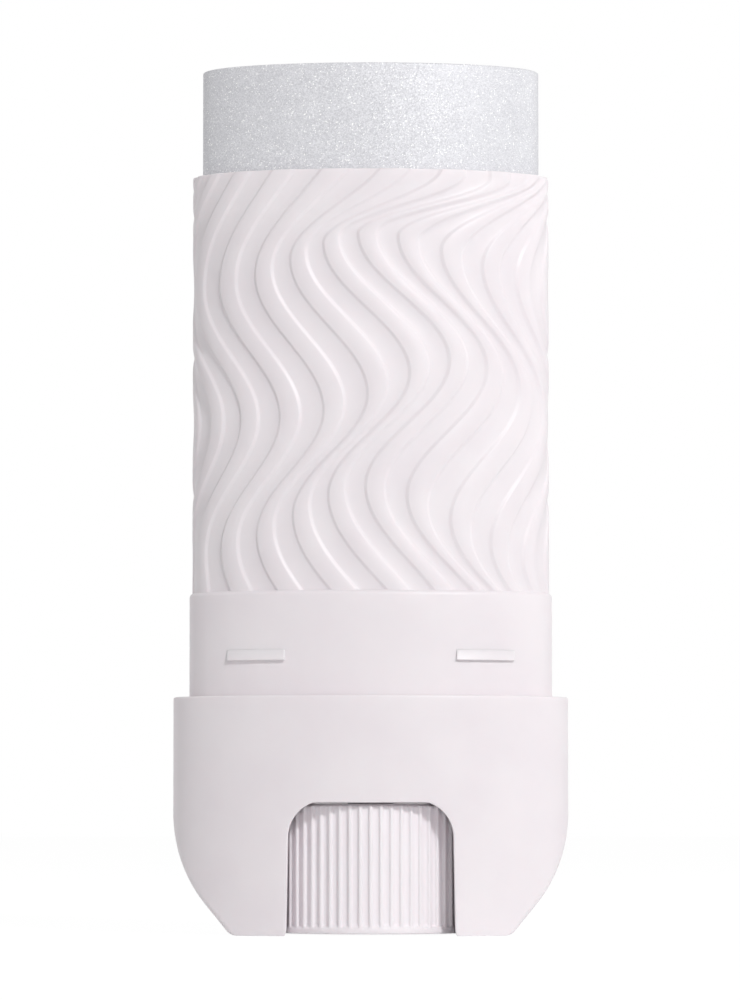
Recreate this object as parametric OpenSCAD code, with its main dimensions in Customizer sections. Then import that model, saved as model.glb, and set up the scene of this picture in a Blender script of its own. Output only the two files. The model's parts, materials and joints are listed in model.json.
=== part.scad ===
// Oval twist-up lip balm stick, uncapped, with its bar wound part of the way out
// Millimetres, +Z up; the origin is the middle of the foot and the front looks along -Y

/* [Base shell] */
// Width of the base shell
base_w = 26; // [25:0.5:30]
// Depth of the base shell, front to back
base_d = 14; // [13.8:0.2:18]
// Height of the base shell, from the foot to the ledge that the cap lands on
base_h = 15.55; // [13:0.5:20]
// Width of the ledge round the collar
ledge = 1.05; // [0.9:0.05:1.4]
// Width between the points where the two slanted sides would meet the ground
foot_w = 18.9; // [18:0.3:21]
// Slant of the lower sides, in degrees from the ground
side_slope = 53.6; // [45:1:65]
// Radius that blends the straight sides into the slanted ones
side_round = 9.5; // [4:0.5:11]
// Radius at the edge of the foot
foot_round = 0.95; // [0.4:0.05:1.2]
// Bevel at the outer edge of the ledge
rim_edge = 0.14; // [0.08:0.02:0.3]
// Thickness of the plate that the stick stands on
plate = 1.2; // [0.8:0.1:2]
// Thickness of the web over the dial, which the barrel is seated on
deck = 0.8; // [0.6:0.1:1.2]
// Thickness of the wall round the dial's pocket
pocket_wall = 0.9; // [0.7:0.1:1.2]
// Width of the step that the barrel's edge is seated on
seat_step = 0.8; // [0.5:0.1:1.2]

/* [Window] */
// Width of each window at the foot
window_w = 10.95; // [9:0.25:11.5]
// Height of the top of each window
window_h = 8.6; // [7:0.2:10]
// Radius of the window's upper corners
window_corner = 2.35; // [1:0.05:3]
// How far an upper corner turns before it meets the top edge, in degrees
window_turn = 72; // [60:2:90]
// Lean of the window's sides, in degrees
window_draft = 1.1; // [0:0.1:3]

/* [Dial] */
// Diameter over the ribs of the dial
dial_d = 13.1; // [12:0.1:13.2]
// Gap round the dial in its pocket
dial_gap = 0.25; // [0.15:0.05:0.3]
// Gap between the dial and the top of the window
dial_drop = 0.27; // [0.15:0.02:0.5]
// Gap under the dial
dial_lift = 0.12; // [0.05:0.01:0.3]
// Number of ribs round the dial
rib_count = 60; // [40:2:66]
// Width of each rounded rib
rib_w = 0.34; // [0.24:0.02:0.4]
// How far a rib stands out of the dial
rib_proud = 0.3; // [0.18:0.02:0.36]
// Height of the plain band under the ribs
dial_band = 0.42; // [0.2:0.02:1]
// Thickness of the dial's wall
dial_wall = 1.1; // [0.8:0.1:1.5]
// Thickness of the dial's closed bottom
dial_floor = 1.3; // [0.8:0.1:2]
// Depth of the shallow dish in the dial's bottom
dish = 0.25; // [0.1:0.05:0.5]
// Width of the lip on the dial's top that runs under the web
lip_w = 0.6; // [0.3:0.1:0.8]
// Gap over that lip
lip_gap = 0.06; // [0.04:0.01:0.1]
// Diameter of the dial's hub
hub_d = 5.2; // [4.8:0.2:6.5]

/* [Collar] */
// Height of the collar above the ledge
collar_h = 6.86; // [5:0.2:9]
// Bevel at the collar's shoulder, less than the step in to the sleeve
shoulder = 0.15; // [0.05:0.01:0.15]
// Distance of each cap bead from the middle of the front
bead_x = 7.48; // [6:0.2:8]
// Height of the cap beads above the ledge
bead_z = 2.65; // [1.5:0.1:4]
// Length of a cap bead
bead_len = 3.8; // [2:0.1:4]
// Height of a cap bead
bead_h = 0.7; // [0.5:0.05:1]
// How far a cap bead stands out of the collar
bead_proud = 0.2; // [0.1:0.02:0.3]

/* [Sleeve] */
// Height of the wavy sleeve, from the collar's shoulder to its rim
sleeve_h = 27.53; // [22:0.5:34]
// Step from the collar in to the crests of the waves
sleeve_step = 0.175; // [0.16:0.005:0.2]
// Thickness of the sleeve's wall at the crests
wall = 0.55; // [0.5:0.05:0.7]
// Thickness of the barrel's floor
barrel_floor = 1; // [0.8:0.1:1.5]

/* [Wave relief] */
// Number of raised ridges round the sleeve, an even number
ridge_count = 22; // [16:2:24]
// Height of a ridge
relief = 0.16; // [0.08:0.02:0.2]
// Width of a ridge's sloping flank
flank = 0.3; // [0.2:0.05:0.4]
// Share of the pitch that a ridge takes
ridge_share = 0.48; // [0.4:0.02:0.56]
// Where the middle of the front falls, in ridges from the first
front_ridge = 5.25; // [0:0.25:11]

/* [Screw] */
// Outside diameter of the thread
screw_d = 3.5; // [3:0.1:4]
// Rise of the cup for one turn
screw_lead = 4; // [3:0.5:5]
// Depth of the rounded thread
thread_depth = 0.45; // [0.3:0.05:0.5]
// Gap between the screw's thread and the cup's
thread_gap = 0.12; // [0.1:0.01:0.15]
// Diameter of the plain journal that turns in the barrel's floor
journal_d = 3; // [2.4:0.1:3.4]
// Gap round the journal
journal_gap = 0.06; // [0.04:0.01:0.1]
// Diameter of the flange that bears on the barrel's floor
flange_d = 4.8; // [4.2:0.2:6]
// Thickness of the flange
flange_h = 0.6; // [0.4:0.1:1]
// How much of the screw is still in the cup when the bar is right out
last_grip = 3; // [2:0.5:4]
// How far the cup stays below the rim when the bar is right out
last_room = 0.9; // [0.5:0.1:2]

/* [Cup and bar] */
// Height of the cup that carries the bar
cup_h = 5.5; // [4.5:0.5:6]
// Thickness of the cup's wall
cup_wall = 0.5; // [0.4:0.05:0.7]
// Thickness of the cup's floor
cup_floor = 0.8; // [0.6:0.1:1.2]
// Thickness of the wall of the cup's threaded boss
boss_wall = 0.8; // [0.6:0.1:1]
// Gap between the bar or the cup and the bore
slide_gap = 0.1; // [0.05:0.01:0.15]
// Gap between the bar and the cup that it is cast in
cast_gap = 0.02; // [0.01:0.01:0.05]
// How far the bar stands out of the sleeve
bar_out = 7.04; // [4:0.5:12]
// How far the bar sinks below the rim when it is wound right in
bar_park = 0.6; // [0.3:0.1:1.5]
// Bevel at the bar's top edge
bar_edge = 0.15; // [0.05:0.05:0.5]

/* [Hidden] */
$fn = 96;
slack = 0.02;    // how far a cutter reaches past what it cuts
float_gap = 0.03; // axial play of the flange and of the parked cup

// Colours
white_plastic = [0.93, 0.90, 0.92];
white_nylon = [0.95, 0.95, 0.94];
pearl_wax = [0.84, 0.84, 0.87];

// Plan sizes, from the base inwards
collar_w = base_w - 2 * ledge;
collar_d = base_d - 2 * ledge;
sleeve_w = collar_w - 2 * sleeve_step;
sleeve_d = collar_d - 2 * sleeve_step;
bore_w = sleeve_w - 2 * wall;
bore_d = sleeve_d - 2 * wall;
bar_w = bore_w - 2 * slide_gap;
bar_d = bore_d - 2 * slide_gap;
pocket_r = dial_d / 2 + dial_gap;

// Heights, from the foot up
dial_top = window_h - dial_drop;
seat_z = window_h + deck;
floor_top = seat_z + barrel_floor;
collar_top = base_h + collar_h;
rim_z = collar_top + sleeve_h;
bar_top = rim_z + bar_out;
flange_top = floor_top + float_gap + flange_h;
parked_cup_z = flange_top + 4 * float_gap;
cup_z = parked_cup_z + bar_out + bar_park;
top_cup_z = rim_z - last_room - cup_h;
screw_top = top_cup_z + last_grip;
bar_bore_top = screw_top + bar_out + bar_park + 0.3;

// Waves of the relief: how the ridges turn on their way up the sleeve. Each row is one turn: its
// height, in shares of the sleeve's height, and its sideways swing, in ridge pitches. Both are a
// mean and three amplitudes that vary them round the barrel, as spread() gives.
turns = [
    [[-0.193, -0.016, -0.007, 0.092], [2.26, 1.08, 0.28, -0.93]],
    [[0.148, 0.081, -0.02, 0.015], [0.25, -0.05, 0.05, -0.08]],
    [[0.455, 0.069, -0.006, 0.02], [2.09, 0.22, 0.02, -0.04]],
    [[0.778, 0.059, 0.003, 0.009], [0.1, -0.09, -0.03, -0.09]],
    [[1.073, -0.085, 0.004, -0.006], [2.9, 0.57, 0.4, -0.03]]
];
// Levels of the relief's mesh: the top part, where the ridges sweep aside, is finer
sweep_start = 0.8;
low_levels = 28;
top_levels = 14;
thread_sides = 14;
// Angle between the points of an oval
oval_step = 3.75;

// Oval plan forms
module oval(w, d) {
    polygon([for (t = [0 : oval_step : 360 - oval_step]) [w / 2 * cos(t), d / 2 * sin(t)]]);
}

module oval_prism(w, d, h) {
    linear_extrude(height = h) oval(w, d);
}

// An oval block whose top edge is broken by a small bevel
module oval_block(w, d, h, edge) {
    oval_prism(w, d, h - edge);
    translate([0, 0, h - edge])
        linear_extrude(height = edge, scale = [1 - 2 * edge / w, 1 - 2 * edge / d], slices = 1, $fn = 12)
            oval(w, d);
}

// Arc lengths of an oval's first quarter, as pairs of length and angle, for walking round it evenly
arc_step = 2;
function arc_piece(a, b, t) = norm([a * cos(t), b * sin(t)]) * arc_step * PI / 180;
function quarter_arcs(a, b) = [
    for (t = 0, s = 0; t <= 90; s = s + arc_piece(a, b, t + arc_step / 2), t = t + arc_step) [s, t]
];
sleeve_arcs = quarter_arcs(sleeve_w / 2, sleeve_d / 2);
quarter_len = sleeve_arcs[len(sleeve_arcs) - 1][0];
ridge_pitch = 4 * quarter_len / ridge_count;

// Angle on the oval at a distance along it from mid front, positive towards +X
function oval_angle(s) =
    let (half = floor(s / (2 * quarter_len)), rest = s - half * 2 * quarter_len)
    180 * half + (rest <= quarter_len
        ? lookup(rest, sleeve_arcs)
        : 180 - lookup(2 * quarter_len - rest, sleeve_arcs));

// Sideways swing, in pitches, of the line that starts at ridge k, at share v of the sleeve's height
function spread(k) =
    let (turn = 2 * 360 * (k - front_ridge) / ridge_count)
    [1, cos(turn), sin(turn), cos(2 * turn)];
function turn_at(j, k) = [turns[j][0] * spread(k), turns[j][1] * spread(k)];
function ease(x) = (1 - cos(180 * min(max(x, 0), 1))) / 2;
function swing(k, v, j = 0) =
    let (from = turn_at(j, k), to = turn_at(j + 1, k))
    v < to[0] || j == len(turns) - 2
        ? from[1] + (to[1] - from[1]) * ease((v - from[0]) / (to[0] - from[0]))
        : swing(k, v, j + 1);
function line_arc(k, v) = ridge_pitch * (k - front_ridge + swing(k, v));

// The four points of one ridge at one level: foot, crest, crest, foot
function sleeve_point(s, drop, z) =
    let (t = oval_angle(s))
    [(sleeve_w / 2 - drop) * sin(t), -(sleeve_d / 2 - drop) * cos(t), z];
function ridge_points(k, v, z) =
    let (left = line_arc(k, v), right = line_arc(k + ridge_share, v))
    [
        sleeve_point(left - flank / 2, relief, z),
        sleeve_point(left + flank / 2, 0, z),
        sleeve_point(right - flank / 2, 0, z),
        sleeve_point(right + flank / 2, relief, z)
    ];

// The sleeve with the wave relief, its foot sunk a little into the collar's wall
module wave_sleeve() {
    sink = 0.4;
    levels = [
        for (i = [0 : low_levels - 1]) sweep_start * i / low_levels,
        for (i = [0 : top_levels]) sweep_start + (1 - sweep_start) * i / top_levels
    ];
    last = len(levels) - 1;
    ring = 4 * ridge_count;
    points = [
        for (i = [0 : last], k = [0 : ridge_count - 1])
            each ridge_points(k, levels[i], collar_top + sleeve_h * levels[i] - (i == 0 ? sink : 0)),
        [0, 0, collar_top - sink],
        [0, 0, rim_z]
    ];
    sides = [
        for (i = [0 : last - 1], c = [0 : ring - 1])
            let (p = i * ring + c, q = i * ring + (c + 1) % ring)
            each [[p, p + ring, q + ring], [p, q + ring, q]]
    ];
    ends = [
        for (c = [0 : ring - 1])
            let (d = (c + 1) % ring, top = last * ring)
            each [[len(points) - 2, c, d], [len(points) - 1, top + d, top + c]]
    ];
    difference() {
        polyhedron(points = points, faces = concat(sides, ends), convexity = 6);
        translate([0, 0, collar_top - 2 * sink])
            oval_prism(bore_w + 2 * slack, bore_d + 2 * slack, sleeve_h + 4 * sink);
    }
}

// Raised dashes on the collar, front and back, that the cap clicks over
module cap_beads() {
    intersection() {
        translate([0, 0, base_h + bead_z - bead_h / 2])
            oval_prism(collar_w + 2 * bead_proud, collar_d + 2 * bead_proud, bead_h);
        for (side = [-1, 1], face = [-1, 1])
            translate([side * bead_x, face * collar_d / 2, base_h + bead_z])
                cube([bead_len, collar_d / 2, 2 * bead_h], center = true);
    }
}

// The barrel: wavy sleeve, collar and floor in one moulding
module barrel() {
    color(white_plastic) union() {
        difference() {
            union() {
                translate([0, 0, seat_z]) oval_block(collar_w, collar_d, collar_top - seat_z, shoulder);
                cap_beads();
            }
            translate([0, 0, floor_top]) oval_prism(bore_w, bore_d, rim_z);
            translate([0, 0, seat_z - 1]) cylinder(d = journal_d + 2 * journal_gap, h = barrel_floor + 2);
        }
        wave_sleeve();
    }
}

// Front view of the base shell, drawn in by an inset: straight sides that blend into slanted ones
function side_points(inset) =
    let (
        half_w = base_w / 2 - inset,
        foot_half = foot_w / 2 - inset * (1 / sin(side_slope) + 1 / tan(side_slope)),
        knee_z = (half_w - foot_half) * tan(side_slope) + inset,
        flat_half = foot_half - foot_round * tan(side_slope / 2),
        bend_z = knee_z + side_round * tan((90 - side_slope) / 2)
    )
    [
        [flat_half, inset],
        for (i = [1 : 5]) let (turn = side_slope * i / 5)
            [flat_half + foot_round * sin(turn), inset + foot_round * (1 - cos(turn))],
        for (i = [0 : 9]) let (turn = side_slope + (90 - side_slope) * i / 9)
            [half_w - side_round * (1 - sin(turn)), bend_z - side_round * cos(turn)],
        [half_w, base_h + 1]
    ];

module side_outline(inset) {
    right = side_points(inset);
    last = len(right) - 1;
    polygon(concat(right, [for (i = [0 : last]) [-right[last - i][0], right[last - i][1]]]));
}

module through_depth() {
    translate([0, base_d, 0]) rotate([90, 0, 0]) linear_extrude(height = 2 * base_d) children();
}

// Front view of a window, open at the foot
module window_outline() {
    bend_z = window_h - window_corner * sin(window_turn);
    bend_x = window_w / 2 - bend_z * tan(window_draft);
    step = window_turn / 9;
    polygon([
        [-window_w / 2 - slack, -slack],
        [window_w / 2 + slack, -slack],
        for (i = [0 : 9])
            [bend_x - window_corner * (1 - cos(i * step)), bend_z + window_corner * sin(i * step)],
        for (i = [9 : -1 : 0])
            [-bend_x + window_corner * (1 - cos(i * step)), bend_z + window_corner * sin(i * step)]
    ]);
}

// Hollows beside the dial's pocket, cored from above
module side_cores() {
    difference() {
        intersection() {
            translate([0, 0, plate])
                oval_prism(collar_w - 2 * seat_step, collar_d - 2 * seat_step, seat_z - plate + slack);
            through_depth() side_outline(ledge);
        }
        cylinder(r = pocket_r + pocket_wall, h = base_h);
    }
}

// The base shell: a tapered oval skirt with a socket for the barrel, and windows to the dial
module base_shell() {
    color(white_plastic) difference() {
        intersection() {
            oval_block(base_w, base_d, base_h, rim_edge);
            through_depth() side_outline(0);
        }
        translate([0, 0, seat_z]) oval_prism(collar_w, collar_d, base_h);
        translate([0, 0, -1]) cylinder(r = pocket_r, h = window_h + 1);
        cylinder(d = journal_d + 8 * journal_gap, h = base_h);
        through_depth() window_outline();
        side_cores();
    }
}

// The dial: a ribbed wheel with a hub that grips the spindle's shank
module dial_section() {
    core_r = dial_d / 2 - rib_proud;
    crest_r = dial_d / 2 - rib_w / 2;
    foot_a = asin(rib_w / 2 / core_r);
    polygon([
        for (i = [0 : rib_count - 1]) let (at = 360 * i / rib_count) each [
            core_r * [cos(at - foot_a), sin(at - foot_a)],
            for (turn = [-90 : 45 : 90])
                crest_r * [cos(at), sin(at)] + rib_w / 2 * [cos(at + turn), sin(at + turn)],
            core_r * [cos(at + foot_a), sin(at + foot_a)]
        ]
    ]);
}

module dial() {
    inner_r = dial_d / 2 - rib_proud - dial_wall;
    color(white_plastic) difference() {
        union() {
            translate([0, 0, dial_lift]) cylinder(d = dial_d, h = dial_band);
            translate([0, 0, dial_lift]) linear_extrude(height = dial_top - dial_lift) dial_section();
            translate([0, 0, dial_lift]) cylinder(r = inner_r + lip_w, h = window_h - lip_gap - dial_lift);
        }
        translate([0, 0, dial_lift + dial_floor]) difference() {
            cylinder(r = inner_r, h = dial_top);
            cylinder(d = hub_d, h = dial_top);
        }
        translate([0, 0, dial_lift + dial_floor]) cylinder(d = journal_d, h = dial_top);
        translate([0, 0, -1]) cylinder(r = inner_r, h = 1 + dial_lift + dish);
    }
}

// The running form of the thread: an off-centre circle that turns as it climbs, left-handed so
// that turning the dial about +Z raises the cup
module thread_form(gap, low, high) {
    per_turn = 16;
    rotate([0, 0, -360 * low / screw_lead]) translate([0, 0, low])
        linear_extrude(height = high - low, twist = 360 * (high - low) / screw_lead,
                       slices = ceil(per_turn * (high - low) / screw_lead), $fn = thread_sides)
            translate([thread_depth, 0]) circle(r = screw_d / 2 - thread_depth + gap, $fn = thread_sides);
}

// The spindle: shank, journal and flange turned on one axis, and the lifting thread above
module spindle() {
    color(white_nylon) union() {
        translate([0, 0, dial_lift + dial_floor]) cylinder(d = journal_d, h = floor_top + flange_h - dial_lift - dial_floor);
        translate([0, 0, floor_top + float_gap]) cylinder(d = flange_d, h = flange_h);
        thread_form(0, flange_top - flange_h / 2, screw_top);
    }
}

// The cup: an oval tray that can't turn in the bore, with a threaded boss on the spindle
module cup() {
    boss_d = screw_d + 2 * thread_gap + 2 * boss_wall;
    color(white_nylon) difference() {
        translate([0, 0, cup_z]) difference() {
            oval_prism(bar_w, bar_d, cup_h);
            translate([0, 0, cup_floor]) difference() {
                oval_prism(bar_w - 2 * cup_wall, bar_d - 2 * cup_wall, cup_h);
                cylinder(d = boss_d, h = cup_h);
            }
        }
        thread_form(thread_gap, cup_z - 0.5, cup_z + cup_h + 0.5);
    }
}

// The balm: a flat-topped oval bar cast into the cup round the spindle
module balm() {
    boss_d = screw_d + 2 * thread_gap + 2 * boss_wall;
    color(pearl_wax) difference() {
        union() {
            translate([0, 0, cup_z + cup_floor + cast_gap])
                oval_prism(bar_w - 2 * cup_wall - 2 * cast_gap, bar_d - 2 * cup_wall - 2 * cast_gap, cup_h);
            translate([0, 0, cup_z + cup_h + cast_gap])
                oval_block(bar_w, bar_d, bar_top - cup_z - cup_h - cast_gap, bar_edge);
        }
        cylinder(d = boss_d + 2 * cast_gap, h = cup_z + cup_h + cast_gap);
        cylinder(d = screw_d + 2 * thread_gap, h = bar_bore_top);
    }
}

balm();
cup();
spindle();
dial();
barrel();
base_shell();
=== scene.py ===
import bisect
import json
import logging
import math
from collections.abc import Iterable
from dataclasses import dataclass, field
from enum import Enum
from functools import lru_cache

import bmesh
import bpy
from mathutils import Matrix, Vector

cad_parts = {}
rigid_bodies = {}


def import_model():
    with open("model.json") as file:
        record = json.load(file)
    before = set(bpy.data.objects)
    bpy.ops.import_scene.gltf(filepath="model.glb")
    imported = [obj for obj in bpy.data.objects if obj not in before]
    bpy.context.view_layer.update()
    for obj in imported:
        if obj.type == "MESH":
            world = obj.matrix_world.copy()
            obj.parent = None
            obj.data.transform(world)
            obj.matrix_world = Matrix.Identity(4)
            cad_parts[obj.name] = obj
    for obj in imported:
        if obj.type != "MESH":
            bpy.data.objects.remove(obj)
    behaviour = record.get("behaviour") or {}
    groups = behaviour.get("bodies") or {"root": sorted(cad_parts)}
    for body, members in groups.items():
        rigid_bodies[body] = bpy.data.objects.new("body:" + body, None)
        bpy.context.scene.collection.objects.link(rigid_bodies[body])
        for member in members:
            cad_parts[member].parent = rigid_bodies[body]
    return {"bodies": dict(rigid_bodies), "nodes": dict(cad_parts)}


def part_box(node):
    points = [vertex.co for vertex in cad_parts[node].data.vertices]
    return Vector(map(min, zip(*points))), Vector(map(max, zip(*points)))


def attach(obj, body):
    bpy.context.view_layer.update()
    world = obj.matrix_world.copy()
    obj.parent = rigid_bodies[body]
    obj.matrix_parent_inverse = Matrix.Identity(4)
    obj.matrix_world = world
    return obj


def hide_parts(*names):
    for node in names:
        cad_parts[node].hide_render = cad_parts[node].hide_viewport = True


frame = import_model()

MM = 0.001
LOG = logging.getLogger("balm_stick")

Point = tuple[float, float, float]
Ring = list[Point]
Spread = tuple[float, float, float, float]
Place = tuple[float, float]


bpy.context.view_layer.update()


@lru_cache
def box_mm(node: str) -> tuple[Vector, Vector]:
    """Measures a CAD node once and keeps the answer.

    Args:
        node: The node's name.

    Returns:
        Its lowest and highest corner in millimetres.
    """
    low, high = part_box(node)
    return low / MM, high / MM


def paint(code: str) -> tuple[float, float, float, float]:
    """Turns an sRGB hex colour into linear light.

    Args:
        code: The colour as #RRGGBB.

    Returns:
        Red, green, blue and an alpha of 1.
    """
    channels = [int(code[i:i + 2], 16) / 255 for i in (1, 3, 5)]
    linear = [c / 12.92 if c <= 0.04045 else ((c + 0.055) / 1.055) ** 2.4 for c in channels]
    return (linear[0], linear[1], linear[2], 1.0)


def add_node(tree: bpy.types.NodeTree, kind: str, settings: dict | None = None,
             links: dict | None = None) -> bpy.types.Node:
    """Adds one node with its settings and links.

    Args:
        tree: The node tree that gets the node.
        kind: The node's Blender type name.
        settings: Attribute names, or input names or numbers, with their values.
        links: Input names or numbers, each with the output socket that feeds it.

    Returns:
        The new node.
    """
    node = tree.nodes.new(kind)
    for name, value in (settings or {}).items():
        if isinstance(name, str) and hasattr(node, name):
            setattr(node, name, value)
        else:
            node.inputs[name].default_value = value
    for name, socket in (links or {}).items():
        tree.links.new(socket, node.inputs[name])
    return node


def ramp(tree: bpy.types.NodeTree, socket: bpy.types.NodeSocket,
         stops: list[tuple[float, str]]) -> bpy.types.NodeSocket:
    """Maps a value onto a row of colours.

    Args:
        tree: The node tree to work in.
        socket: The value, from 0 to 1.
        stops: Places along the row, each with its sRGB hex colour.

    Returns:
        The colour output.
    """
    node = add_node(tree, "ShaderNodeValToRGB", links={0: socket})
    elements = node.color_ramp.elements
    while len(elements) < len(stops):
        elements.new(0.5)
    for element, (place, code) in zip(elements, stops):
        element.position, element.color = place, paint(code)
    return node.outputs[0]


def span(tree: bpy.types.NodeTree, socket: bpy.types.NodeSocket, low: float,
         high: float) -> bpy.types.NodeSocket:
    """Maps a value from 0..1 onto low..high and gives the output."""
    node = add_node(tree, "ShaderNodeMapRange", {"To Min": low, "To Max": high}, {"Value": socket})
    return node.outputs[0]


class Slot(Enum):
    """Names of the record's material slots, which nothing in the script reads."""

    SHELL = "shell_plastic"
    DIAL = "dial"
    BALM = "balm"


@dataclass(frozen=True)
class MouldedPolypropylene:
    """Injection-moulded white polypropylene: a satin skin that lets a little light in.

    The eye gets a soft, broad highlight from the spark-eroded mould, a hair of
    unevenness in the gloss, and a faint pink-lavender cast in the white.
    """

    name: str = "satin white polypropylene"
    pale: str = "#F0EAED"
    deep: str = "#ECE5E9"
    roughness: float = 0.42
    ior: float = 1.49
    skin_mm: float = 0.09      # grain of the spark-eroded mould, drawn coarse enough to show
    cloud_mm: float = 5.0      # slow drift of the pigment along the flow
    bump_mm: float = 0.0016
    gloss_drift: float = 0.04  # how far the roughness drifts with the pigment
    glow: float = 0.22         # share of light that is scattered inside
    depth_mm: float = 0.4      # how deep that light goes

    def build(self) -> bpy.types.Material:
        """Builds the material.

        Returns:
            The new material.
        """
        material = bpy.data.materials.new(self.name)
        material.use_nodes = True
        tree = material.node_tree
        shader = tree.nodes["Principled BSDF"]
        place = add_node(tree, "ShaderNodeTexCoord").outputs["Object"]
        cloud = add_node(tree, "ShaderNodeTexNoise", {"Scale": 1 / (self.cloud_mm * MM), "Detail": 3.0},
                         {"Vector": place})
        skin = add_node(tree, "ShaderNodeTexNoise", {"Scale": 1 / (self.skin_mm * MM), "Detail": 2.0},
                        {"Vector": place})
        bump = add_node(tree, "ShaderNodeBump", {"Strength": 1.0, "Distance": self.bump_mm * MM},
                        {"Height": skin.outputs[0]})
        tint = ramp(tree, cloud.outputs[0], [(0.3, self.deep), (0.7, self.pale)])
        gloss = span(tree, cloud.outputs[0], self.roughness - self.gloss_drift,
                     self.roughness + self.gloss_drift)
        tree.links.new(tint, shader.inputs["Base Color"])
        tree.links.new(gloss, shader.inputs["Roughness"])
        tree.links.new(bump.outputs[0], shader.inputs["Normal"])
        shader.inputs["IOR"].default_value = self.ior
        shader.inputs["Subsurface Weight"].default_value = self.glow
        shader.inputs["Subsurface Radius"].default_value = (1.0, 0.8, 0.8)
        shader.inputs["Subsurface Scale"].default_value = self.depth_mm * MM
        return material


@dataclass(frozen=True)
class PearlWax:
    """Cast wax with mica flakes: silvery white, each flake tilted its own way.

    The eye gets a soft, slightly metallic falloff from light to shade, with fine
    bright points where a flake faces the light.
    """

    name: str = "pearl balm wax with mica"
    wax: str = "#DCDCE0"
    shade: str = "#CACACF"
    flake: str = "#EFEFF3"
    roughness: float = 0.54
    ior: float = 1.44
    flake_mm: float = 0.062    # mica is finer than this, which is as fine as the render shows
    tilt: float = 0.21         # how far a flake leans from the surface
    sparkle_share: float = 0.03
    cloud_mm: float = 1.6      # slow drift of how densely the mica lies
    grain_share: float = 0.64  # how much of the colour changes from flake to flake
    metal: float = 0.14        # the wax with its fine mica
    flake_metal: float = 0.4   # the brightest flakes

    def build(self) -> bpy.types.Material:
        """Builds the material.

        Returns:
            The new material.
        """
        material = bpy.data.materials.new(self.name)
        material.use_nodes = True
        tree = material.node_tree
        shader = tree.nodes["Principled BSDF"]
        place = add_node(tree, "ShaderNodeTexCoord").outputs["Object"]
        flakes = add_node(tree, "ShaderNodeTexVoronoi", {"Scale": 1 / (self.flake_mm * MM)},
                          {"Vector": place})
        lot = add_node(tree, "ShaderNodeSeparateColor", links={0: flakes.outputs["Color"]})
        cloud = add_node(tree, "ShaderNodeTexNoise", {"Scale": 1 / (self.cloud_mm * MM), "Detail": 4.0},
                         {"Vector": place})
        ground = ramp(tree, cloud.outputs[0], [(0.3, self.shade), (0.75, self.wax)])
        grain = ramp(tree, lot.outputs[0], [(0.0, self.shade), (0.5, self.wax), (1.0, self.flake)])
        body = add_node(tree, "ShaderNodeMix", {"data_type": "RGBA", 0: self.grain_share},
                        {6: ground, 7: grain})
        bright = add_node(tree, "ShaderNodeMath", {"operation": "GREATER_THAN", 1: 1 - self.sparkle_share},
                          {0: lot.outputs[1]})
        colour = add_node(tree, "ShaderNodeMix", {"data_type": "RGBA", 7: paint("#FFFFFF")},
                          {0: bright.outputs[0], 6: body.outputs[2]})
        lean = add_node(tree, "ShaderNodeVectorMath", {"operation": "SUBTRACT", 1: (0.5, 0.5, 0.5)},
                        {0: flakes.outputs["Color"]})
        lean = add_node(tree, "ShaderNodeVectorMath", {"operation": "SCALE", "Scale": self.tilt},
                        {0: lean.outputs[0]})
        facing = add_node(tree, "ShaderNodeNewGeometry").outputs["Normal"]
        tilted = add_node(tree, "ShaderNodeVectorMath", {"operation": "ADD"},
                          {0: facing, 1: lean.outputs[0]})
        tilted = add_node(tree, "ShaderNodeVectorMath", {"operation": "NORMALIZE"}, {0: tilted.outputs[0]})
        metal = span(tree, bright.outputs[0], self.metal, self.flake_metal)
        tree.links.new(colour.outputs[2], shader.inputs["Base Color"])
        tree.links.new(metal, shader.inputs["Metallic"])
        tree.links.new(tilted.outputs[0], shader.inputs["Normal"])
        shader.inputs["Roughness"].default_value = self.roughness
        shader.inputs["IOR"].default_value = self.ior
        return material


@dataclass
class RingSkin:
    """A closed tube of rings: a grid whose two seams are welded once its points are in place."""

    rings: list[Ring] = field(default_factory=list)
    caps: list[int] = field(default_factory=list)

    def grow(self, rings: Iterable[Ring]) -> "RingSkin":
        """Adds rings, each with the same number of points, and returns the skin."""
        self.rings.extend(rings)
        return self

    def cap(self) -> "RingSkin":
        """Marks the newest ring as closed with one flat face and returns the skin."""
        self.caps.append(len(self.rings) - 1)
        return self

    def build(self) -> bmesh.types.BMesh:
        """Lays a grid over the rings, welds its seam and fills the marked rings.

        Returns:
            The new mesh.
        """
        mesh = bmesh.new()
        across, up = len(self.rings[0]), len(self.rings) - 1
        made = bmesh.ops.create_grid(mesh, x_segments=across, y_segments=up, size=0.5)["verts"]
        for vert in made:
            column, row = round((vert.co.x + 0.5) * across), round((vert.co.y + 0.5) * up)
            vert.co = self.rings[row][column % across]
        bmesh.ops.remove_doubles(mesh, verts=mesh.verts, dist=1e-5)
        if self.caps:
            edges = [e for e in mesh.edges if len(e.link_faces) == 1]
            bmesh.ops.holes_fill(mesh, edges=edges, sides=0)
        return mesh


def join(mesh: bmesh.types.BMesh, part: bmesh.types.BMesh) -> None:
    """Adds a closed part to a mesh, as a form of the same moulding.

    Args:
        mesh: The mesh that grows.
        part: The closed part, which is used up.
    """
    bmesh.ops.recalc_face_normals(part, faces=part.faces)
    data = bpy.data.meshes.new("part")
    part.to_mesh(data)
    part.free()
    mesh.from_mesh(data)
    bpy.data.meshes.remove(data)


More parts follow.
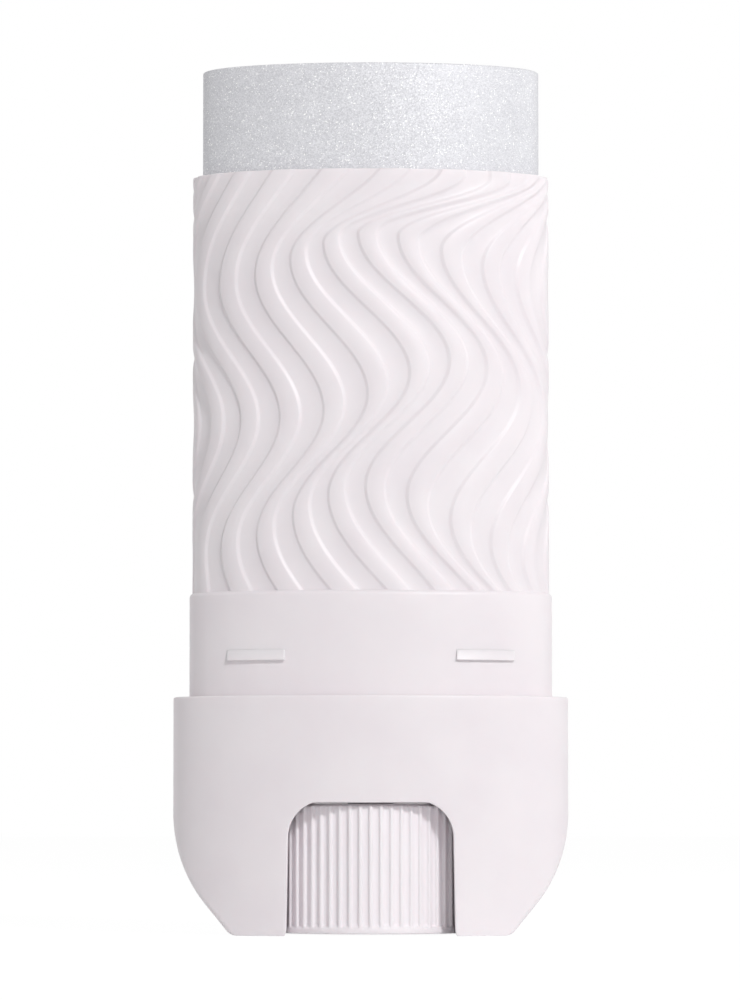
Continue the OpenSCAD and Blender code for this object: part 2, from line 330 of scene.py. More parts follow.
def cut(body: bmesh.types.BMesh, cutter: bmesh.types.BMesh) -> bmesh.types.BMesh:
    """Cuts one closed shape out of another.

    Args:
        body: The shape that is cut, which is used up.
        cutter: The shape that is taken away, which is used up.

    Returns:
        What is left.
    """
    made = []
    for name, mesh in (("body", body), ("cutter", cutter)):
        data = bpy.data.meshes.new(name)
        mesh.to_mesh(data)
        mesh.free()
        made.append(bpy.data.objects.new(name, data))
        bpy.context.scene.collection.objects.link(made[-1])
    bore = made[0].modifiers.new("bore", "BOOLEAN")
    bore.operation, bore.solver, bore.object = "DIFFERENCE", "EXACT", made[1]
    graph = bpy.context.evaluated_depsgraph_get()
    left = bmesh.new()
    left.from_mesh(made[0].evaluated_get(graph).to_mesh())
    for data in [thing.data for thing in made]:
        bpy.data.meshes.remove(data)
    return left


def finish_piece(name: str, mesh: bmesh.types.BMesh, material: bpy.types.Material,
                 smooth_angle: float = 35.0) -> bpy.types.Object:
    """Turns a bmesh in millimetres into a piece of the scene.

    Args:
        name: The piece's name.
        mesh: The finished shape, in millimetres.
        material: Its finish.
        smooth_angle: Edges that turn more than this, in degrees, stay crisp.

    Returns:
        The new object, at the origin, in metres.
    """
    bmesh.ops.remove_doubles(mesh, verts=mesh.verts, dist=1e-5)
    bmesh.ops.dissolve_degenerate(mesh, edges=mesh.edges, dist=1e-6)
    bmesh.ops.recalc_face_normals(mesh, faces=mesh.faces)
    bmesh.ops.scale(mesh, vec=(MM, MM, MM), verts=mesh.verts)
    for face in mesh.faces:
        face.smooth = True
    limit = math.radians(smooth_angle)
    for edge in mesh.edges:
        edge.smooth = len(edge.link_faces) == 2 and edge.calc_face_angle(0.0) < limit
    data = bpy.data.meshes.new(name)
    mesh.to_mesh(data)
    mesh.free()
    data.materials.append(material)
    piece = bpy.data.objects.new(name, data)
    bpy.context.scene.collection.objects.link(piece)
    LOG.info("%s: %d faces", name, len(data.polygons))
    return piece


def oval_ring(half_w: float, half_d: float, z: float, angles: list[float]) -> Ring:
    """Gives the points of an oval at a height, at angles from mid front towards +X."""
    return [(half_w * math.sin(t), -half_d * math.cos(t), z) for t in angles]


def even_angles(count: int) -> list[float]:
    """Gives evenly spaced angles for a full turn."""
    return [2 * math.pi * i / count for i in range(count)]


def ease(x: float) -> float:
    """Goes from 0 to 1 along half a cosine wave."""
    return (1 - math.cos(math.pi * min(max(x, 0.0), 1.0))) / 2


@dataclass
class WaveRelief:
    """The flowing waves round the sleeve: ridges that swing between turning heights.

    Heights are shares of the sleeve's height and swings are in ridge pitches, as in
    the part's source. Each is a mean and three amplitudes that vary it round the oval.
    """

    half_w: float
    half_d: float
    foot_z: float
    rim_z: float
    turns: tuple[tuple[Spread, Spread], ...] = (
        ((-0.193, -0.016, -0.007, 0.092), (2.26, 1.08, 0.28, -0.93)),
        ((0.148, 0.081, -0.02, 0.015), (0.25, -0.05, 0.05, -0.08)),
        ((0.455, 0.069, -0.006, 0.02), (2.09, 0.22, 0.02, -0.04)),
        ((0.778, 0.059, 0.003, 0.009), (0.1, -0.09, -0.03, -0.09)),
        ((1.073, -0.085, 0.004, -0.006), (2.9, 0.57, 0.4, -0.03)),
    )
    count: int = 22
    share: float = 0.48
    front: float = 5.25
    flank: float = 0.28          # how wide a ridge's side is, square to it
    height: float = 0.15         # how far the ridges stand above the valleys
    steps: int = 720
    arcs: list[float] = field(default_factory=list)

    def __post_init__(self) -> None:
        """Measures the oval's arc length at fine steps from mid front."""
        total = 0.0
        self.arcs = [0.0]
        for i in range(self.steps):
            t = 2 * math.pi * (i + 0.5) / self.steps
            speed = math.hypot(self.half_w * math.cos(t), self.half_d * math.sin(t))
            total += speed * 2 * math.pi / self.steps
            self.arcs.append(total)

    @property
    def around(self) -> float:
        """The oval's whole length."""
        return self.arcs[-1]

    @property
    def pitch(self) -> float:
        """The distance from one ridge to the next along the oval."""
        return self.around / self.count

    def angle(self, arc: float) -> float:
        """Finds a place on the oval.

        Args:
            arc: The distance along the oval from mid front, in millimetres.

        Returns:
            The oval's angle there.
        """
        lap = math.floor(arc / self.around)
        rest = arc - lap * self.around
        i = min(bisect.bisect_right(self.arcs, rest) - 1, self.steps - 1)
        part = (rest - self.arcs[i]) / (self.arcs[i + 1] - self.arcs[i])
        return 2 * math.pi * (lap + (i + part) / self.steps)

    def turn_at(self, j: int, k: float) -> tuple[float, float]:
        """Places one turn of one line.

        Args:
            j: The turn's number, from the foot.
            k: The line's number, where a ridge has a whole one.

        Returns:
            The turn's height share and its swing.
        """
        turn = 4 * math.pi * (k - self.front) / self.count
        terms = (1.0, math.cos(turn), math.sin(turn), math.cos(2 * turn))
        height, swing = (sum(a * b for a, b in zip(row, terms)) for row in self.turns[j])
        return height, swing

    def line(self, k: float, v: float) -> float:
        """Follows one line.

        Args:
            k: The line's number.
            v: The share of the sleeve's height.

        Returns:
            The line's distance along the oval there, in millimetres.
        """
        j = 0
        while j < len(self.turns) - 2 and v >= self.turn_at(j + 1, k)[0]:
            j += 1
        low, high = self.turn_at(j, k), self.turn_at(j + 1, k)
        swing = low[1] + (high[1] - low[1]) * ease((v - low[0]) / (high[0] - low[0]))
        return self.pitch * (k - self.front + swing)

    def columns(self, v: float) -> list[Place]:
        """Gives every column of the relief at a height share.

        Args:
            v: The share of the sleeve's height.

        Returns:
            The arc position and the drop below the crests, column by column, in millimetres.
        """
        profile = ((-0.5, 0.0), (-0.25, 0.156), (0.0, 0.5), (0.25, 0.844), (0.5, 1.0))   # an eased side
        step = 0.002
        tall = self.rim_z - self.foot_z
        found = []
        walls = []
        for n in range(2 * self.count):
            k = n // 2 + (self.share if n % 2 else 0.0)
            here = self.line(k, v)
            slope = (self.line(k, v + step) - self.line(k, v - step)) / (2 * step * tall)
            walls.append((here, self.flank * math.hypot(1.0, slope)))
        for n, (here, wide) in enumerate(walls):
            after = walls[(n + 1) % len(walls)][0] + (self.around if n + 1 == len(walls) else 0.0)
            before = walls[n - 1][0] - (self.around if n == 0 else 0.0)
            wide = min(wide, 0.85 * min(after - here, here - before))
            rising = n % 2 == 0
            for shift, height in profile:
                raised = height if rising else 1.0 - height
                found.append((here + shift * wide, (1.0 - raised) * self.height))
            found.append(((here + after) / 2, 0.0 if rising else self.height))
        return found

    def ring(self, v: float, inset: float = 0.0, z: float | None = None) -> Ring:
        """Lays one ring of the relief.

        Args:
            v: The share of the sleeve's height that the pattern is taken from.
            inset: How far the ring is set in, as on a rounded rim.
            z: The ring's own height, where it isn't the pattern's.

        Returns:
            The ring's points.
        """
        height = self.foot_z + (self.rim_z - self.foot_z) * v if z is None else z
        ring = []
        for arc, drop in self.columns(v):
            t = self.angle(arc)
            ring.append(((self.half_w - drop - inset) * math.sin(t),
                         -(self.half_d - drop - inset) * math.cos(t), height))
        return ring


@dataclass
class Barrel:
    """The wavy sleeve, its collar with the cap beads, and the floor, in one moulding."""

    material: bpy.types.Material
    base_h: float
    step: float = 0.175          # from the collar in to the crests
    wall: float = 0.55
    collar_h: float = 6.86
    floor_z: float = 10.4
    seat_z: float = 9.4
    hole_r: float = 1.56
    shoulder: float = 0.33       # radius of the collar's shoulder
    rim_round: float = 0.09
    rows: int = 230
    bead_x: float = 7.48
    bead_z: float = 2.65
    bead_len: float = 3.8
    bead_h: float = 0.7
    bead_proud: float = 0.3      # at its lower edge, which a cap snaps under
    bead_lead: float = 0.05      # at its upper edge, where the cap slides on

    def relief(self) -> WaveRelief:
        """Gives the wave relief between the collar's top and the rim."""
        high = box_mm("barrel")[1]
        return WaveRelief(high.x - self.step, high.y - self.step, self.base_h + self.collar_h, high.z)

    def skin(self) -> bmesh.types.BMesh:
        """Builds the moulding's skin: collar, shoulder, waves, rim, bore and floor.

        Returns:
            The closed skin, without its beads.
        """
        relief = self.relief()
        collar_w, collar_d = relief.half_w + self.step, relief.half_d + self.step
        bore_w, bore_d = relief.half_w - self.wall, relief.half_d - self.wall
        foot = [(relief.angle(arc), drop + self.step) for arc, drop in relief.columns(0.0)]
        top = [relief.angle(arc) for arc, _ in relief.columns(1.0)]
        angles = [t for t, _ in foot]

        def shoulder(share: float) -> Ring:
            """Gives a ring part of the way round the shoulder, up to each column's own drop.

            Args:
                share: The part of the way, from 0 at the collar to 1 at the waves.

            Returns:
                The ring's points.
            """
            ring = []
            for t, drop in foot:
                turn = share * math.acos(max(1 - drop / self.shoulder, 0.0))
                inward = self.shoulder * (1 - math.cos(turn))
                ring.append(((collar_w - inward) * math.sin(t), -(collar_d - inward) * math.cos(t),
                             relief.foot_z - self.shoulder * (1 - math.sin(turn))))
            return ring

        skin = RingSkin([oval_ring(collar_w, collar_d, self.seat_z, angles)])
        collar = [self.base_h + (relief.foot_z - self.shoulder - self.base_h) * i / 6 for i in range(7)]
        skin.grow(oval_ring(collar_w, collar_d, z, angles) for z in collar)
        skin.grow(shoulder(i / 6) for i in range(1, 7))
        last = 1 - self.rim_round / (relief.rim_z - relief.foot_z)
        skin.grow(relief.ring(last * i / self.rows) for i in range(1, self.rows + 1))
        for i in range(1, 5):
            turn = math.pi / 2 * i / 4
            skin.grow([relief.ring(1.0, self.rim_round * (1 - math.cos(turn)),
                                   relief.rim_z - self.rim_round * (1 - math.sin(turn)))])
        for i in range(0, 4):
            turn = math.pi / 2 * i / 3
            inward = self.rim_round * (1 - math.sin(turn))
            skin.grow([oval_ring(bore_w + inward, bore_d + inward,
                                 relief.rim_z - self.rim_round * (1 - math.cos(turn)), top)])
        bore = [relief.rim_z + (self.floor_z - relief.rim_z) * i / 12 for i in range(1, 13)]
        skin.grow(oval_ring(bore_w, bore_d, z, top) for z in bore)
        skin.grow(oval_ring(self.hole_r, self.hole_r, z, top) for z in (self.floor_z, self.seat_z))
        skin.grow([oval_ring(collar_w, collar_d, self.seat_z, angles)])
        return skin.build()

    def bead(self, side: int, face: int) -> bmesh.types.BMesh:
        """Makes one raised dash, rounded at its edges and bent to the collar's curve.

        Args:
            side: -1 for the left one and 1 for the right one.
            face: -1 for the front and 1 for the back.

        Returns:
            The dash as a mesh of its own.
        """
        high = box_mm("barrel")[1]
        depth = 1.6 * self.bead_proud
        mesh = bmesh.new()
        bmesh.ops.create_cube(mesh, size=1.0)
        bmesh.ops.scale(mesh, vec=(self.bead_len, depth, self.bead_h), verts=mesh.verts)
        bmesh.ops.bevel(mesh, geom=mesh.edges[:], offset=0.06, segments=3, profile=0.5, affect="EDGES",
                        material=-1)
        for i in range(1, 12):
            x = self.bead_len * (i / 12 - 0.5)
            bmesh.ops.bisect_plane(mesh, geom=mesh.verts[:] + mesh.edges[:] + mesh.faces[:],
                                   plane_co=(x, 0, 0), plane_no=(1, 0, 0))
        for vert in mesh.verts:
            x = side * self.bead_x + vert.co.x
            surface = high.y * math.sqrt(max(1 - (x / high.x) ** 2, 0.0))
            up = vert.co.z / self.bead_h + 0.5
            out = -vert.co.y - depth / 2 + self.bead_proud * (1 - up) + self.bead_lead * up
            vert.co = (x, face * (surface + out), vert.co.z + self.base_h + self.bead_z)
        return mesh

    def build(self) -> bpy.types.Object:
        """Builds the barrel and lets it ride on the housing.

        Returns:
            The new piece.
        """
        mesh = self.skin()
        for side in (-1, 1):
            for face in (-1, 1):
                join(mesh, self.bead(side, face))
        piece = finish_piece("wavy_barrel", mesh, self.material, 50.0)
        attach(piece, "housing")
        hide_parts("barrel")
        return piece


@dataclass
class BaseShell:
    """The tapered oval skirt: slanted sides, ledge, socket, and two arched windows to the dial.

    A quarter of it is laid out in the front view, on spokes that run from the window's
    edge to the outline, and then bent to the oval and mirrored.
    """

    material: bpy.types.Material
    ledge: float = 1.05
    foot_w: float = 18.2
    side_slope: float = 50.2
    side_round: float = 9.5
    foot_round: float = 0.95
    window_w: float = 10.95
    window_h: float = 8.6
    window_corner: float = 2.35
    window_turn: float = 72.0
    window_draft: float = 1.1
    flare: float = 0.12          # how far the window's sides open at the foot
    pocket_r: float = 6.6
    hole_r: float = 1.74
    seat_z: float = 9.4
    edge: float = 0.09           # radius at the window's edge
    corner: float = 0.3          # radius where the front meets the slanted sides
    rim: float = 0.13            # radius at the ledge's outer edge
    seam: float = 0.035          # gap round the collar where it enters the socket
    arc_spokes: int = 14
    top_spokes: int = 10
    skin_steps: int = 26

    @property
    def half(self) -> Vector:
        """Half the width, half the depth and the height of the shell."""
        return box_mm("base_shell")[1]

    def depth(self, x: float) -> float:
        """Gives how far the front stands out at a distance from the middle."""
        return self.half.y * math.sqrt(max(1 - (x / self.half.x) ** 2, 0.0))

    def outline(self) -> list[Place]:
        """Draws the right-hand outline in the front view, from the foot up to the ledge.

        Returns:
            The points, as x and z.
        """
        slope = math.radians(self.side_slope)
        half, height = self.half.x, self.half.z
        knee = (half - self.foot_w / 2) * math.tan(slope)
        bend = knee + self.side_round * math.tan((math.pi / 2 - slope) / 2)
        flat = self.foot_w / 2 - self.foot_round * math.tan(slope / 2)
        foot = [(flat + self.foot_round * math.sin(slope * i / 8),
                 self.foot_round * (1 - math.cos(slope * i / 8))) for i in range(9)]
        turns = [slope + (math.pi / 2 - slope) * i / 16 for i in range(17)]
        bulge = [(half - self.side_round * (1 - math.sin(turn)), bend - self.side_round * math.cos(turn))
                 for turn in turns]
        (x0, z0), (x1, z1) = foot[-1], bulge[0]
        straight = [(x0 + (x1 - x0) * i / 6, z0 + (z1 - z0) * i / 6) for i in range(1, 6)]
        upright = [(half, bend + (height - self.rim - bend) * i / 10) for i in range(1, 11)]
        return foot + straight + bulge + upright

    def arch(self, sides: int) -> list[Place]:
        """Gives the right-hand half of a window's edge, from the foot to the middle of its top.

        Args:
            sides: How many steps its upright side takes, closer together at the foot.

        Returns:
            The points, as x and z.
        """
        draft, turned = math.tan(math.radians(self.window_draft)), math.radians(self.window_turn)
        bend_z = self.window_h - self.window_corner * math.sin(turned)
        points = []
        for i in range(sides + 1):
            z = bend_z * (i / sides) ** 1.35
            opened = self.flare * max(1 - z / 0.4, 0.0) ** 2
            points.append((self.window_w / 2 - z * draft + opened, z))
        bend_x = self.window_w / 2 - bend_z * draft
        for i in range(1, self.arc_spokes + 1):
            turn = turned * i / self.arc_spokes
            points.append((bend_x - self.window_corner * (1 - math.cos(turn)),
                           bend_z + self.window_corner * math.sin(turn)))
        last = points[-1][0]
        points += [(last * (1 - i / self.top_spokes), self.window_h) for i in range(1, self.top_spokes + 1)]
        return points

    @staticmethod
    def normals(path: list[Place]) -> list[Place]:
        """Measures which way a path faces.

        Args:
            path: The path's points, as x and z.

        Returns:
            The unit normal at each point, to the path's right-hand side.
        """
        found = []
        for i in range(len(path)):
            (x0, z0), (x1, z1) = path[max(i - 1, 0)], path[min(i + 1, len(path) - 1)]
            size = math.hypot(x1 - x0, z1 - z0)
            found.append(((z1 - z0) / size, -(x1 - x0) / size))
        return found

    @staticmethod
    def curve(start: Vector, middle: Vector, end: Vector, steps: int) -> list[Vector]:
        """Rounds an edge.

        Args:
            start: Where the rounding starts, which isn't among the points.
            middle: The sharp edge that it bends round.
            end: Where it ends.
            steps: How many points it takes.

        Returns:
            The points of the rounding.
        """
        found = []
        for i in range(1, steps + 1):
            s = i / steps
            found.append(start * (1 - s) ** 2 + middle * (2 * s * (1 - s)) + end * s ** 2)
        return found

    def on_skin(self, t: float, z: float) -> Vector:
        """Gives a point of the front skin at an oval angle and a height."""
        return Vector((self.half.x * math.sin(t), -self.half.y * math.cos(t), z))

    def window_spoke(self, place: Place, out: Place) -> tuple[list[Vector], Place]:
        """Runs one spoke out through the window's wall and round its edge.

        Args:
            place: The arch's point, as x and z.
            out: The arch's normal there.

        Returns:
            The spoke's points, and the oval angle and height where the front skin starts.
        """
        x, z = place
        away_x, away_z = x + self.edge * out[0], z + self.edge * out[1]
        wall_y = self.edge - self.depth(x)
        spoke = [Vector((x, wall_y * j / 6, z)) for j in range(7)]
        start = Vector((away_x, -self.depth(away_x), away_z))
        spoke += self.curve(spoke[-1], Vector((x, -self.depth(x), z)), start, 4)
        return spoke, (math.asin(away_x / self.half.x), away_z)

    def side_spoke(self, place: Place, out: Place, fade: float) -> tuple[list[Vector], Place]:
        """Runs one spoke round the corner and back over the slanted side.

        Args:
            place: The outline's point, as x and z.
            out: The outline's normal there.
            fade: The share of the corner's radius that this spoke has.

        Returns:
            The spoke's points, and the oval angle and height where the front skin ends.
        """
        (x, z), half, gone = place, self.half, self.depth(place[0])
        reach = min(self.corner * fade, 0.35 * gone)
        steep = half.y * x / (half.x ** 2 * math.sqrt(max(1 - (x / half.x) ** 2, 1e-9)))
        near = reach / math.hypot(1.0, steep * out[0])
        finish = (math.asin(min((x - near * out[0]) / half.x, 1.0)), z - near * out[1])
        last, inner = self.on_skin(*finish), Vector((x, reach - gone, z))
        spoke = [last] + self.curve(last, Vector((x, -gone, z)), inner, 4)
        return spoke + [Vector((x, inner.y * (1 - j / 4), z)) for j in range(1, 5)], finish

    def crown_spoke(self, t: float) -> list[Vector]:
        """Runs one spoke over the rim, along the ledge and down the socket to the middle.

        Args:
            t: The spoke's oval angle.

        Returns:
            The spoke's points.
        """
        half, depth, height = self.half

        def at(inset: float, z: float) -> Vector:
            """Gives a point at an inset from the outer oval."""
            return Vector(((half - inset) * math.sin(t), -(depth - inset) * math.cos(t), z))

        mouth = self.ledge - self.seam
        soft = 0.05              # radius at the socket's mouth
        spoke = [self.on_skin(t, height - self.rim)]
        spoke += self.curve(spoke[0], at(0.0, height), at(self.rim, height), 4)
        spoke += [at(self.rim + (mouth - soft - self.rim) * j / 3, height) for j in range(1, 4)]
        spoke += self.curve(spoke[-1], at(mouth, height), at(mouth, height - soft), 3)
        spoke += [at(mouth, height - soft + (self.seat_z - height + soft) * j / 4) for j in range(1, 5)]
        wall = spoke[-1]
        return spoke + [Vector((wall.x * share, wall.y * share, self.seat_z)) for share in (0.6, 0.25, 0.0)]

    def quarter(self) -> list[list[list[Vector]]]:
        """Lays out the right-hand front quarter.

        Returns:
            Three strips of spokes, each a list of points: window wall with front skin,
            slanted side, and rim with ledge and socket.
        """
        side = self.outline()
        arch = self.arch(len(side) - 1)
        arch_out, side_out = self.normals(arch), self.normals(side)
        arch_out[0] = side_out[0] = (1.0, 0.0)
        arch_out[-1] = (0.0, 1.0)
        front, slant, crown = [], [], []
        for i, (place, out) in enumerate(zip(arch, arch_out)):
            spoke, begin = self.window_spoke(place, out)
            if i < len(side):
                strip, finish = self.side_spoke(side[i], side_out[i], min(i / 8, 1.0))
                slant.append(strip)
            if i >= len(side) - 1:
                t = math.pi / 2 * (len(arch) - 1 - i) / (len(arch) - len(side))
                crown.append(self.crown_spoke(t))
                finish = (t, self.half.z - self.rim)
            shares = [j / self.skin_steps for j in range(1, self.skin_steps + 1)]
            front.append(spoke + [self.on_skin(begin[0] + (finish[0] - begin[0]) * share,
                                               begin[1] + (finish[1] - begin[1]) * share)
                                  for share in shares])
        return [front, slant, crown]

    def skin(self) -> bmesh.types.BMesh:
        """Builds the closed skirt with its windows, before the pocket is bored.

        Returns:
            The closed skirt.
        """
        mesh = bmesh.new()
        for strip in self.quarter():
            across, along = len(strip) - 1, len(strip[0]) - 1
            made = bmesh.ops.create_grid(mesh, x_segments=across, y_segments=along, size=0.5)["verts"]
            for vert in made:
                i, j = round((vert.co.x + 0.5) * across), round((vert.co.y + 0.5) * along)
                vert.co = strip[i][j]
        bmesh.ops.remove_doubles(mesh, verts=mesh.verts, dist=1e-4)
        for axis in ("X", "Y"):
            bmesh.ops.mirror(mesh, geom=mesh.verts[:] + mesh.edges[:] + mesh.faces[:], axis=axis,
                             merge_dist=1e-4)
        bmesh.ops.remove_doubles(mesh, verts=mesh.verts, dist=1e-4)
        bmesh.ops.dissolve_degenerate(mesh, edges=mesh.edges, dist=1e-5)
        bmesh.ops.holes_fill(mesh, edges=[e for e in mesh.edges if len(e.link_faces) == 1], sides=0)
        bmesh.ops.recalc_face_normals(mesh, faces=mesh.faces)
        return mesh

    def pocket(self) -> bmesh.types.BMesh:
        """Builds the cutter for the dial's pocket and the hole that the spindle runs through.

        Returns:
            The closed cutter.
        """
        angles = even_angles(144)
        skin = RingSkin([oval_ring(self.pocket_r, self.pocket_r, -1.0, angles)]).cap()
        skin.grow([oval_ring(self.pocket_r, self.pocket_r, self.window_h + 0.02, angles),
                   oval_ring(self.hole_r, self.hole_r, self.window_h + 0.02, angles),
                   oval_ring(self.hole_r, self.hole_r, self.seat_z + 1.0, angles)]).cap()
        mesh = skin.build()
        bmesh.ops.recalc_face_normals(mesh, faces=mesh.faces)
        return mesh

    def build(self) -> bpy.types.Object:
        """Builds the shell, bores its pocket and lets it ride on the housing.

        Returns:
            The new piece.
        """
        mesh = cut(self.skin(), self.pocket())
        piece = finish_piece("base_skirt", mesh, self.material, 40.0)
        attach(piece, "housing")
        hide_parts("base_shell")
        return piece


@dataclass
class ThumbDial:
    """The ribbed wheel that winds the bar up and down."""

    material: bpy.types.Material
    ribs: int = 60
    rib_w: float = 0.27
    proud: float = 0.19
    band: float = 0.42
    inner_r: float = 5.15
    floor: float = 1.3
    dish: float = 0.25
    hub_r: float = 2.6
    shank_r: float = 1.5
    drop: float = 0.12           # from the top of the lip down to the ribbed wall's top
    lip_w: float = 0.85
    foot_edge: tuple[Place, ...] = ((0.0, 0.12), (0.03, 0.04), (0.1, 0.0))    # height, inset
    run_out: tuple[Place, ...] = ((-0.04, 0.0), (0.0, 0.12), (0.05, 0.45), (0.12, 0.8), (0.22, 0.97),
                                  (0.34, 1.0))      # height above the band, share of the rib's depth
    top_edge: tuple[Point, ...] = ((0.12, 1.0, 0.0), (0.05, 1.0, 0.03), (0.015, 0.96, 0.08),
                                   (0.0, 0.9, 0.14))    # distance below the top, share, inset

    def rib_profile(self) -> list[Place]:
        """Draws one rib with its valley.

        Returns:
            The points, as shares of the pitch and shares of the rib's height.
        """
        pitch = 2 * math.pi * self.radius / self.ribs
        half = self.rib_w / 2 / pitch
        side = [(half + 0.055, 0.0), (half + 0.015, 0.1), (half - 0.02, 0.5), (half - 0.065, 0.88),
                (half - 0.13, 1.0)]
        return [(-0.5, 0.0)] + [(-x, y) for x, y in side] + [(0.0, 1.0)] + side[::-1]

    @property
    def radius(self) -> float:
        """The radius over the ribs."""
        return box_mm("dial")[1].x

    def ring(self, z: float, depth: float, inset: float = 0.0) -> Ring:
        """Gives a ring of the ribbed wall.

        Args:
            z: The ring's height.
            depth: How deep the valleys are there, from 0 for the plain band to 1.
            inset: How far the ring is set in, as on a rounded edge.

        Returns:
            The ring's points.
        """
        ring = []
        for i in range(self.ribs):
            for shift, height in self.rib_profile():
                t = 2 * math.pi * (i + shift) / self.ribs
                r = self.radius - self.proud * depth * (1 - height) - inset
                ring.append((r * math.sin(t), -r * math.cos(t), z))
        return ring

    def build(self) -> bpy.types.Object:
        """Builds the dial and lets it ride on the drive.

        Returns:
            The new piece.
        """
        low, high = box_mm("dial")
        angles = [2 * math.pi * (i + shift) / self.ribs
                  for i in range(self.ribs) for shift, _ in self.rib_profile()]

        def plain(r: float, z: float) -> Ring:
            """Gives a plain ring with the ribbed ring's columns."""
            return oval_ring(r, r, z, angles)

        inner = self.inner_r
        foot = low.z
        skin = RingSkin([plain(inner, foot + self.dish)]).cap()
        skin.grow([plain(inner, foot)])
        skin.grow(self.ring(foot + up, 0.0, inset) for up, inset in self.foot_edge)
        band = foot + self.band
        skin.grow(self.ring(band + up, share) for up, share in self.run_out)
        top = high.z - self.drop
        start = band + self.run_out[-1][0]
        skin.grow(self.ring(start + (top - band - 0.6) * i / 4, 1.0) for i in range(1, 5))
        skin.grow(self.ring(top - down, share, inset) for down, share, inset in self.top_edge)
        deep = foot + self.floor
        lip = inner + self.lip_w
        skin.grow([plain(lip + 0.03, top), plain(lip, top + 0.03), plain(lip, high.z - 0.04),
                   plain(lip - 0.04, high.z), plain(inner, high.z), plain(inner, deep),
                   plain(self.hub_r, deep), plain(self.hub_r, high.z), plain(self.shank_r, high.z),
                   plain(self.shank_r, deep)])
        skin.cap()
        piece = finish_piece("ribbed_dial", skin.build(), self.material, 50.0)
        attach(piece, "drive")
        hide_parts("dial")
        return piece


@dataclass
class BalmBar:
    """The flat-topped oval bar of pearl wax, cast into the cup round the spindle."""

    material: bpy.types.Material
    edge: float = 0.14
    cup_wall: float = 0.52
    boss_r: float = 2.69
    bore_r: float = 1.87
    bore_top: float = 54.48
    columns: int = 160

    def build(self) -> bpy.types.Object:
        """Builds the bar and lets it ride on the elevator.

        Returns:
            The new piece.
        """
        low, high = box_mm("balm")
        angles = even_angles(self.columns)
        lip = box_mm("cup")[1].z + 0.02

        def circle(r: float, z: float) -> Ring:
            """Gives a round ring."""
            return oval_ring(r, r, z, angles)

        def oval(inset: float, z: float) -> Ring:
            """Gives an oval ring set in from the bar's side."""
            return oval_ring(high.x - inset, high.y - inset, z, angles)

        skin = RingSkin([circle(self.bore_r, self.bore_top)]).cap()
        skin.grow([circle(self.bore_r, lip), circle(self.boss_r, lip), circle(self.boss_r, low.z),
                   oval(self.cup_wall, low.z), oval(self.cup_wall, lip), oval(0.0, lip)])
        skin.grow(oval(0.0, lip + (high.z - self.edge - lip) * i / 8) for i in range(1, 9))
        for i in range(1, 6):
            turn = math.pi / 2 * i / 5
            skin.grow([oval(self.edge * (1 - math.cos(turn)), high.z - self.edge * (1 - math.sin(turn)))])
        skin.grow(oval(inset, high.z) for inset in (0.4, 1.5))
        skin.cap()
        piece = finish_piece("pearl_bar", skin.build(), self.material, 50.0)
        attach(piece, "elevator")
        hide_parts("balm")
        return piece


@dataclass(frozen=True)
class Softbox:
    """A round softbox that looks at the middle of the stick."""

    name: str
    azimuth: float       # degrees from the front towards +X
    elevation: float     # degrees above the horizon
    distance: float      # metres from the stick
    size: float          # its diameter in metres
    watts: float
    aim: Point = (0.0, 0.0, 0.028)

    def hang(self) -> None:
        """Hangs the softbox in its place."""
        data = bpy.data.lights.new(self.name, "AREA")
        data.shape, data.size, data.energy = "DISK", self.size, self.watts
        lamp = bpy.data.objects.new(self.name, data)
        a, e = math.radians(self.azimuth), math.radians(self.elevation)
        away = Vector((math.sin(a) * math.cos(e), -math.cos(a) * math.cos(e), math.sin(e)))
        lamp.location = Vector(self.aim) + away * self.distance
        lamp.rotation_mode = "QUATERNION"
        lamp.rotation_quaternion = away.to_track_quat("Z", "Y")
        bpy.context.scene.collection.objects.link(lamp)


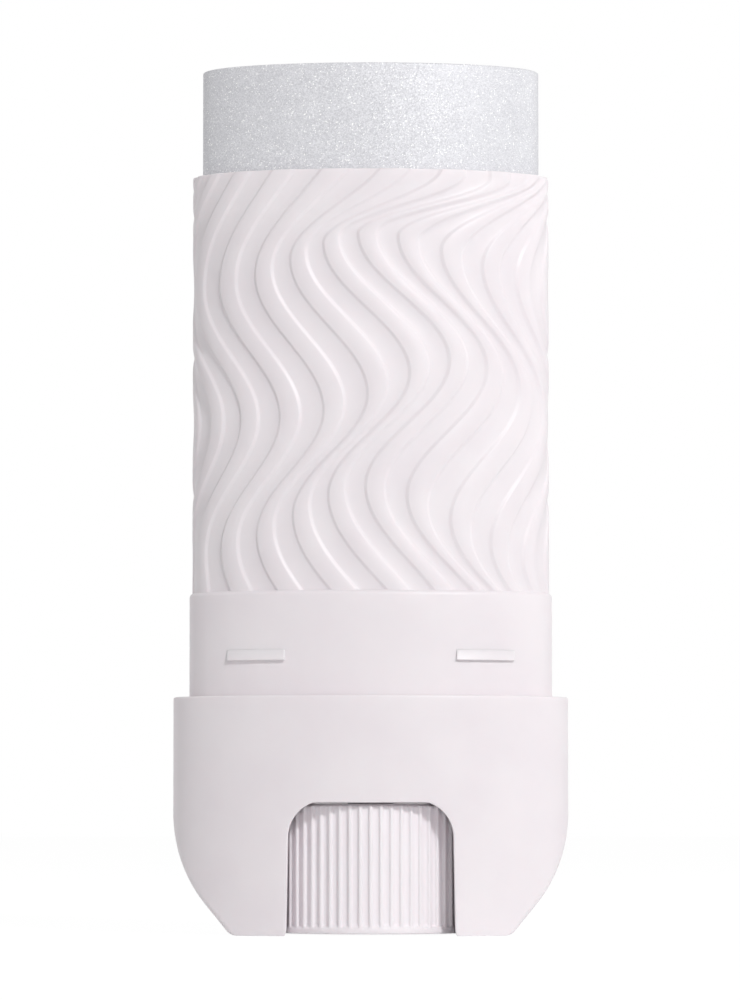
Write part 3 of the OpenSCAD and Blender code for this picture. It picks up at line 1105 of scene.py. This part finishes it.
@dataclass(frozen=True)
class Studio:
    """The white sweep, the lights and the camera at the photograph's angle."""

    ambient: float = 0.39        # the room's light on the stick
    floor_share: float = 0.9     # how much of the floor's white is its own, the rest takes the shadow
    floor_glow: float = 1.06     # brings the sum of both to plain white
    lens_mm: float = 187.6
    camera_place: Point = (-0.00005, -0.3436, 0.00714)
    pitch: float = 3.572         # degrees that the camera looks up, from the height of the dial
    boxes: tuple[Softbox, ...] = (
        Softbox("key", 28, 30, 0.6, 0.06, 1.78),
        Softbox("left fill", -100, 15, 0.5, 0.3, 0.14),
        Softbox("right fill", 95, 15, 0.5, 0.3, 0.33),
    )

    def world(self) -> None:
        """Lights the room evenly and shows it white to the camera and in reflections."""
        world = bpy.data.worlds.new("white studio")
        bpy.context.scene.world = world
        world.use_nodes = True
        tree = world.node_tree
        tree.nodes.clear()
        path = add_node(tree, "ShaderNodeLightPath")
        seen = self.seen(tree, path)
        light = add_node(tree, "ShaderNodeBackground", {"Color": paint("#FFFFFF")},
                         {"Strength": span(tree, seen, self.ambient, 1.0)})
        add_node(tree, "ShaderNodeOutputWorld", links={"Surface": light.outputs[0]})

    @staticmethod
    def seen(tree: bpy.types.NodeTree, path: bpy.types.Node) -> bpy.types.NodeSocket:
        """Tells which rays see the studio instead of being lit by it.

        Args:
            tree: The node tree to work in.
            path: Its Light Path node.

        Returns:
            1 for rays from the camera, a gloss or a clear piece, and 0 for others.
        """
        first = add_node(tree, "ShaderNodeMath", {"operation": "MAXIMUM"},
                         {0: path.outputs["Is Camera Ray"], 1: path.outputs["Is Glossy Ray"]})
        both = add_node(tree, "ShaderNodeMath", {"operation": "MAXIMUM"},
                        {0: first.outputs[0], 1: path.outputs["Is Transmission Ray"]})
        return both.outputs[0]

    def floor(self) -> None:
        """Lays a white floor that keeps the stick's soft shadow."""
        mesh = bmesh.new()
        bmesh.ops.create_grid(mesh, x_segments=1, y_segments=1, size=3.0)
        data = bpy.data.meshes.new("floor")
        mesh.to_mesh(data)
        mesh.free()
        material = bpy.data.materials.new("white floor")
        material.use_nodes = True
        tree = material.node_tree
        tree.nodes.clear()
        path = add_node(tree, "ShaderNodeLightPath")
        share = span(tree, self.seen(tree, path), 0.0, self.floor_share)
        paper = add_node(tree, "ShaderNodeBsdfDiffuse", {"Color": paint("#FCFCFC")})
        glow = add_node(tree, "ShaderNodeEmission",
                        {"Color": paint("#FFFFFF"), "Strength": self.floor_glow})
        mixed = add_node(tree, "ShaderNodeMixShader",
                         links={0: share, 1: paper.outputs[0], 2: glow.outputs[0]})
        add_node(tree, "ShaderNodeOutputMaterial", links={"Surface": mixed.outputs[0]})
        data.materials.append(material)
        floor = bpy.data.objects.new("floor", data)
        bpy.context.scene.collection.objects.link(floor)

    def camera(self) -> None:
        """Sets the camera level with the dial's top, in front, as in the photograph."""
        data = bpy.data.cameras.new("camera")
        data.sensor_width, data.lens = 36.0, self.lens_mm
        data.clip_start, data.clip_end = 0.01, 20.0
        camera = bpy.data.objects.new("camera", data)
        camera.location = self.camera_place
        camera.rotation_euler = (math.radians(90 + self.pitch), 0, 0)
        bpy.context.scene.collection.objects.link(camera)
        bpy.context.scene.camera = camera

    def build(self) -> None:
        """Sets up the whole studio."""
        self.world()
        self.floor()
        for box in self.boxes:
            box.hang()
        self.camera()
        bpy.context.scene.view_settings.view_transform = "Standard"


def empty_room() -> None:
    """Takes away whatever a new file starts with, apart from the frame."""
    kept = set(frame["nodes"].values()) | set(frame["bodies"].values())
    for thing in list(bpy.context.scene.objects):
        if thing not in kept:
            bpy.data.objects.remove(thing)


def main() -> None:
    """Builds the stick's pieces in order, then the studio."""
    empty_room()
    logging.basicConfig(level=logging.INFO, format="%(name)s: %(message)s")
    shell = MouldedPolypropylene().build()
    inner = MouldedPolypropylene(name="natural white acetal", pale="#EFEFEC", deep="#E8E8E4",
                                 roughness=0.35, ior=1.48).build()
    dial = MouldedPolypropylene(name="satin white polypropylene of the dial", pale="#F6F1F4",
                                deep="#F3EDF1", roughness=0.46, glow=0.2).build()
    for node, material in (("cup", inner), ("spindle", inner)):
        data = frame["nodes"][node].data
        data.materials.clear()
        data.materials.append(material)
    Barrel(shell, box_mm("base_shell")[1].z).build()
    BaseShell(shell).build()
    ThumbDial(dial).build()
    BalmBar(PearlWax().build()).build()
    Studio().build()


if __name__ == "__main__":
    main()
